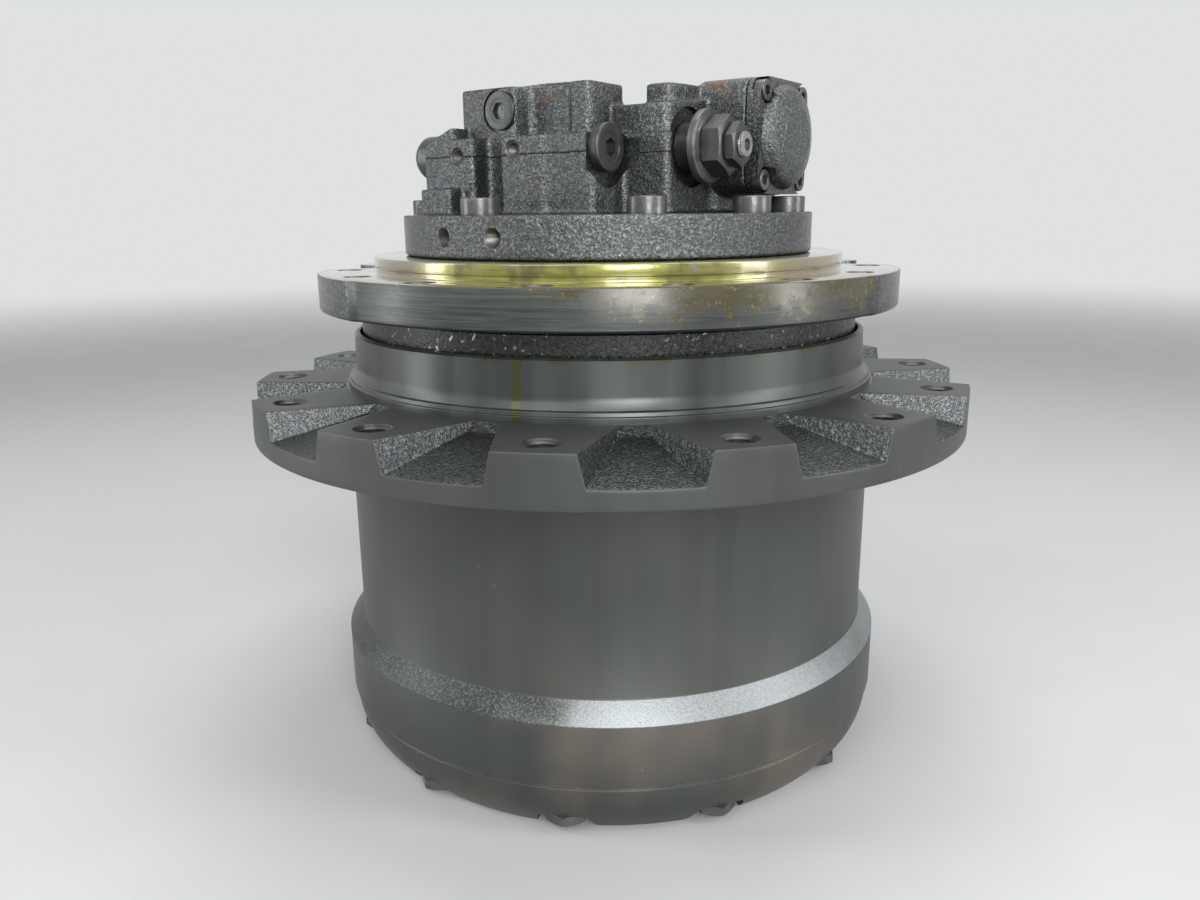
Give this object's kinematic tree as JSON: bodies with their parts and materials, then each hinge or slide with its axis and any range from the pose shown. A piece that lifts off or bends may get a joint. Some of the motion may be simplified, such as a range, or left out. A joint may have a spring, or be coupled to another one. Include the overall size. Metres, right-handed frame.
{
  "type": "excavator final drive",
  "caption": "Track final drive: hydraulic motor and valve block on a fixed flanged housing, planetary gears inside a turning hub with a scalloped sprocket flange.",
  "frame": {"origin": "centre of the end cover's outer face, on which the drive stands", "axes": "+Z along the output axis from the end cover to the valve block, -Y towards the viewer of the picture"},
  "size_m": [0.508, 0.508, 0.4655],
  "materials": {
    "coated_casting": "grey coated casting, semi-gloss",
    "black_steel": "dark phosphated steel",
    "plated_steel": "plated, satin",
    "gear_steel": "ground and oiled",
    "bare_steel": "machined",
    "bronze": "bearing bronze",
    "rubber": "nitrile rubber"
  },
  "bodies": {
    "fixed_casing": {"motor_housing": "coated_casting", "valve_block": "coated_casting", "block_bolt_1": "black_steel", "block_bolt_2": "black_steel", "block_bolt_3": "black_steel", "block_bolt_4": "black_steel", "block_bolt_5": "black_steel", "block_bolt_6": "black_steel", "block_bolt_7": "black_steel", "block_bolt_8": "black_steel", "left_spool_cap": "black_steel", "right_spool_cap": "coated_casting", "cap_screw_1": "black_steel", "cap_screw_2": "black_steel", "cap_screw_3": "black_steel", "cap_screw_4": "black_steel", "relief_valve": "black_steel", "relief_lock_nut": "plated_steel", "relief_adjuster": "plated_steel", "upper_plug": "black_steel", "front_plug": "black_steel", "valve_plate": "bronze", "shaft_bearing_front": "bare_steel", "shaft_bearing_rear": "bare_steel", "seal_ring_fixed": "bare_steel", "seal_o_ring_fixed": "rubber", "upper_bearing_inner_ring": "bare_steel", "lower_bearing_inner_ring": "bare_steel", "bearing_nut": "bare_steel", "fixed_carrier": "bare_steel", "second_stage_pin_1": "bare_steel", "second_stage_pin_2": "bare_steel", "second_stage_pin_3": "bare_steel"},
    "hub": {"hub": "coated_casting", "ring_gear": "gear_steel", "end_cover": "coated_casting", "fill_plug": "plated_steel", "drain_plug": "plated_steel", "seal_ring_hub": "bare_steel", "seal_o_ring_hub": "rubber", "upper_bearing_outer_ring": "bare_steel", "lower_bearing_outer_ring": "bare_steel"},
    "motor_shaft": {"drive_shaft": "bare_steel", "cylinder_block": "bare_steel", "brake_disc": "bare_steel", "first_stage_sun": "gear_steel"},
    "first_carrier": {"first_stage_carrier": "bare_steel", "second_stage_sun": "gear_steel"},
    "upper_rollers": {"upper_bearing_rollers": "bare_steel"},
    "lower_rollers": {"lower_bearing_rollers": "bare_steel"},
    "swash_plate": {"swash_plate": "bare_steel"},
    "shoe_plate": {"shoe_plate": "bronze"},
    "brake_piston": {"brake_piston": "bare_steel"},
    "counterbalance_spool": {"counterbalance_spool": "bare_steel"},
    "first_planet_1": {"first_stage_planet_1": "gear_steel"},
    "first_planet_2": {"first_stage_planet_2": "gear_steel"},
    "first_planet_3": {"first_stage_planet_3": "gear_steel"},
    "second_planet_1": {"second_stage_planet_1": "gear_steel"},
    "second_planet_2": {"second_stage_planet_2": "gear_steel"},
    "second_planet_3": {"second_stage_planet_3": "gear_steel"}
  },
  "joints": [
    {"name": "hub_spin", "type": "hinge", "parent": "fixed_casing", "child": "hub", "pos_m": [0, 0, 0], "axis": [0, 0, 1], "continuous": true},
    {"name": "first_carrier_spin", "type": "hinge", "parent": "fixed_casing", "child": "first_carrier", "pos_m": [0, 0, 0], "axis": [0, 0, 1], "continuous": true},
    {"name": "motor_shaft_spin", "type": "hinge", "parent": "fixed_casing", "child": "motor_shaft", "pos_m": [0, 0, 0], "axis": [0, 0, 1], "continuous": true},
    {"name": "first_planet_1_spin", "type": "hinge", "parent": "first_carrier", "child": "first_planet_1", "pos_m": [0, 0.09375, 0.059], "axis": [0, 0, 1], "continuous": true},
    {"name": "first_planet_2_spin", "type": "hinge", "parent": "first_carrier", "child": "first_planet_2", "pos_m": [-0.08119, -0.04688, 0.059], "axis": [0, 0, 1], "continuous": true},
    {"name": "first_planet_3_spin", "type": "hinge", "parent": "first_carrier", "child": "first_planet_3", "pos_m": [0.08119, -0.04688, 0.059], "axis": [0, 0, 1], "continuous": true},
    {"name": "second_planet_1_spin", "type": "hinge", "parent": "fixed_casing", "child": "second_planet_1", "pos_m": [-0.08931, 0.05156, 0.118], "axis": [0, 0, 1], "continuous": true},
    {"name": "second_planet_2_spin", "type": "hinge", "parent": "fixed_casing", "child": "second_planet_2", "pos_m": [0, -0.10312, 0.118], "axis": [0, 0, 1], "continuous": true},
    {"name": "second_planet_3_spin", "type": "hinge", "parent": "fixed_casing", "child": "second_planet_3", "pos_m": [0.08931, 0.05156, 0.118], "axis": [0, 0, 1], "continuous": true},
    {"name": "upper_rollers_spin", "type": "hinge", "parent": "fixed_casing", "child": "upper_rollers", "pos_m": [0, 0, 0], "axis": [0, 0, 1], "continuous": true},
    {"name": "lower_rollers_spin", "type": "hinge", "parent": "fixed_casing", "child": "lower_rollers", "pos_m": [0, 0, 0], "axis": [0, 0, 1], "continuous": true},
    {"name": "swash_tilt", "type": "hinge", "parent": "fixed_casing", "child": "swash_plate", "pos_m": [0, 0, 0.253], "axis": [1, 0, 0], "range_deg": [-8, 0], "stiffness_Nm_per_rad": 20},
    {"name": "shoe_plate_spin", "type": "hinge", "parent": "swash_plate", "child": "shoe_plate", "pos_m": [0, 0, 0.253], "axis": [0, -0.2588, 0.9659], "continuous": true},
    {"name": "brake_release", "type": "slide", "parent": "fixed_casing", "child": "brake_piston", "axis": [0, 0, 1], "range_m": [0, 0.003], "stiffness_N_per_m": 4000, "springref_m": -0.005},
    {"name": "spool_shift", "type": "slide", "parent": "fixed_casing", "child": "counterbalance_spool", "axis": [0.8192, -0.5736, 0], "range_m": [-0.006, 0.006], "stiffness_N_per_m": 2000}
  ],
  "couplings": [
    {"joint": "first_carrier_spin", "follows": "hub_spin", "ratio": -2.6667},
    {"joint": "motor_shaft_spin", "follows": "hub_spin", "ratio": -17.333},
    {"joint": "first_planet_1_spin", "follows": "hub_spin", "ratio": 9.7778},
    {"joint": "first_planet_2_spin", "follows": "hub_spin", "ratio": 9.7778},
    {"joint": "first_planet_3_spin", "follows": "hub_spin", "ratio": 9.7778},
    {"joint": "second_planet_1_spin", "follows": "hub_spin", "ratio": 3.2},
    {"joint": "second_planet_2_spin", "follows": "hub_spin", "ratio": 3.2},
    {"joint": "second_planet_3_spin", "follows": "hub_spin", "ratio": 3.2},
    {"joint": "upper_rollers_spin", "follows": "hub_spin", "ratio": 0.53846},
    {"joint": "lower_rollers_spin", "follows": "hub_spin", "ratio": 0.53846},
    {"joint": "shoe_plate_spin", "follows": "hub_spin", "ratio": -17.333}
  ]
}
